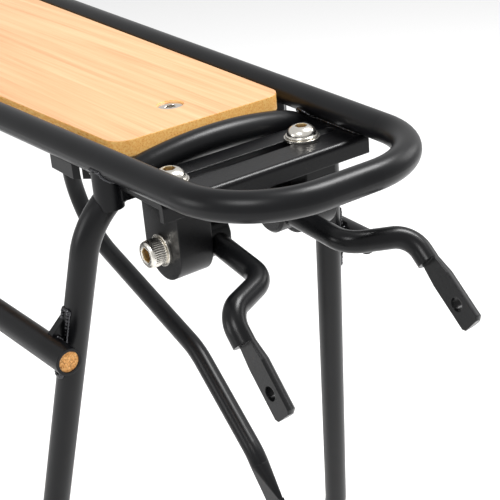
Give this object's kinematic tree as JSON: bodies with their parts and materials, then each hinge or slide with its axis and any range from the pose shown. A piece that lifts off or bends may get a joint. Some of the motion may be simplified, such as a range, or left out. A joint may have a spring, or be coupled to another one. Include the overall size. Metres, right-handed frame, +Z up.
{
  "type": "rear rack",
  "caption": "Bicycle rear rack: black welded tube frame, bamboo deck, low pannier rails with cork plugs, and two adjustable front stays clamped in a slotted plate.",
  "frame": {"origin": "middle of the line through the two dropout eyes, where the rack is bolted to the bicycle", "axes": "+X to the rider's right along the dropout eyes' line, +Y to the rear along the deck, +Z up"},
  "size_m": [0.2214, 0.4931, 0.3885],
  "materials": {
    "black_paint": "matte",
    "black_anodised": "satin",
    "satin_black_steel": "satin",
    "bamboo": "satin",
    "cork": "matte",
    "stainless": "polished",
    "zinc": "satin"
  },
  "bodies": {
    "frame": {"top_loop": "black_paint", "front_hoop": "black_paint", "rear_hoop": "black_paint", "front_feet": "black_paint", "rear_feet": "black_paint", "front_spacers": "black_paint", "rear_spacers": "black_paint", "low_rail_left": "black_paint", "low_rail_right": "black_paint", "rail_gussets": "black_paint", "cork_plugs": "cork", "deck": "bamboo", "support_front": "black_paint", "support_middle": "black_paint", "support_rear": "black_paint", "deck_screws": "stainless", "deck_washers": "zinc", "deck_nuts": "zinc", "light_bracket": "black_paint", "stay_plate": "black_anodised"},
    "clamp_left": {"clamp_block_left": "black_anodised", "slot_bolt_left": "stainless", "slot_washer_left": "stainless"},
    "tilt_left": {"barrel_left": "satin_black_steel", "cap_screw_left": "stainless", "cap_washer_left": "stainless"},
    "stay_left": {"stay_rod_left": "satin_black_steel"},
    "clamp_right": {"clamp_block_right": "black_anodised", "slot_bolt_right": "stainless", "slot_washer_right": "stainless"},
    "tilt_right": {"barrel_right": "satin_black_steel", "cap_screw_right": "stainless", "cap_washer_right": "stainless"},
    "stay_right": {"stay_rod_right": "satin_black_steel"}
  },
  "joints": [
    {"name": "left_clamp_slide", "type": "slide", "parent": "frame", "child": "clamp_left", "axis": [1, 0, 0], "range_m": [-0.003, 0.01]},
    {"name": "left_stay_tilt", "type": "hinge", "parent": "clamp_left", "child": "tilt_left", "pos_m": [0, -0.1055, 0.336], "axis": [1, 0, 0], "range_deg": [-25, 18.5]},
    {"name": "left_stay_reach", "type": "slide", "parent": "tilt_left", "child": "stay_left", "axis": [0, -0.9851, -0.1719], "range_m": [-0.006, 0.01]},
    {"name": "right_clamp_slide", "type": "slide", "parent": "frame", "child": "clamp_right", "axis": [-1, 0, 0], "range_m": [-0.003, 0.01]},
    {"name": "right_stay_tilt", "type": "hinge", "parent": "clamp_right", "child": "tilt_right", "pos_m": [0, -0.1055, 0.336], "axis": [1, 0, 0], "range_deg": [-19, 24.5]},
    {"name": "right_stay_reach", "type": "slide", "parent": "tilt_right", "child": "stay_right", "axis": [0, -0.9979, -0.0645], "range_m": [-0.01, 0.006]}
  ]
}
